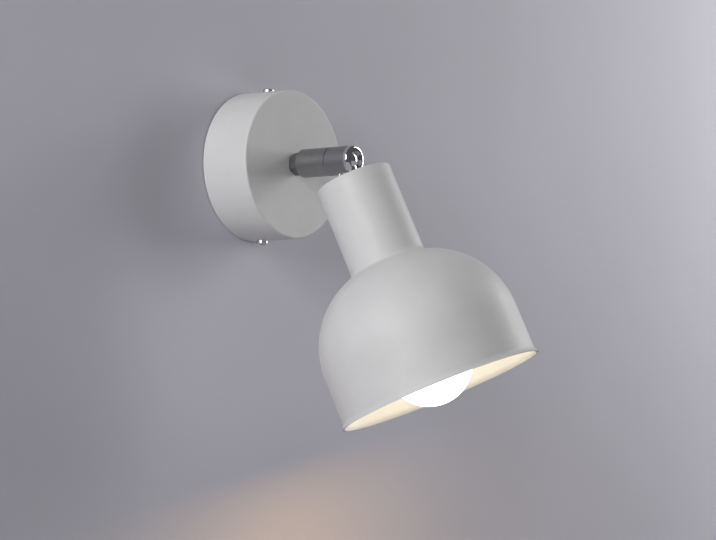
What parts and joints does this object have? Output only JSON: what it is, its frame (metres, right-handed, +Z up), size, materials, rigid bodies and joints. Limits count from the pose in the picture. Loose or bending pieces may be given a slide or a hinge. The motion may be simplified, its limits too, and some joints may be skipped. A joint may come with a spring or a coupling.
{
  "type": "pivoting spotlight wall light",
  "caption": "Wall spotlight: round wall cover, short arm that swivels, ball joint that tilts, and a bell-shaped shade with its lampholder and globe lamp.",
  "frame": {"origin": "centre of the bracket's two wall slots on the wall plane, which is also the centre of the cover's open back edge", "axes": "+Z up, +X to the right of someone facing the wall, +Y into the wall, so the arm reaches along -Y"},
  "size_m": [0.1152, 0.1604, 0.1815],
  "materials": {
    "white_shell": "matt fine-textured powder coat",
    "satin_arm": "satin nickel plate",
    "dark_hex": "dark satin nickel plate",
    "polished_ball": "mirror polish",
    "zinc": "bright zinc plate",
    "spring": "spring steel",
    "brass": "plain",
    "terminal_white": "moulded",
    "holder_black": "moulded thermoplastic",
    "seat_plastic": "moulded low-friction plastic",
    "bulb_opal": "opal",
    "bulb_cap": "plain",
    "bulb_black": "glazed"
  },
  "bodies": {
    "base": {"canopy": "white_shell", "canopy_screws": "zinc", "mounting_bracket": "zinc", "earth_washer": "zinc", "earth_screw": "zinc", "terminal_block": "terminal_white", "terminal_tubes": "brass", "terminal_screws": "zinc", "terminal_fixing_screw": "zinc", "nipple": "zinc", "nipple_washer": "zinc", "nipple_nut": "zinc", "hex_collar": "dark_hex", "arm_sleeve": "satin_arm", "arm_plug": "zinc", "swivel_stop_pin": "spring"},
    "knuckle": {"knuckle_housing": "satin_arm", "swivel_spindle": "zinc", "swivel_slip_washer": "seat_plastic", "swivel_spring": "spring", "swivel_ring_nut": "zinc", "ball_seat": "seat_plastic", "ball_spring": "spring"},
    "head": {"joint_ball": "polished_ball", "ball_stud": "polished_ball", "shade": "white_shell", "stud_washer": "zinc", "stud_nut": "zinc", "lampholder_cap": "holder_black", "lampholder_body": "holder_black", "lampholder_shell": "brass", "lampholder_contact": "brass", "lampholder_terminals": "brass", "lampholder_terminal_screws": "zinc", "bulb_globe": "bulb_opal", "bulb_cap": "bulb_cap", "bulb_insulator": "bulb_black", "bulb_tip": "bulb_cap"}
  },
  "joints": [
    {"name": "arm_swivel", "type": "hinge", "parent": "base", "child": "knuckle", "pos_m": [0, -0.06271, 0], "axis": [0, -1, 0], "range_deg": [-176, 154]},
    {"name": "head_tilt", "type": "hinge", "parent": "knuckle", "child": "head", "pos_m": [0, -0.06271, 0], "axis": [0.9816, 0, 0.1908], "range_deg": [-68, 22]}
  ]
}
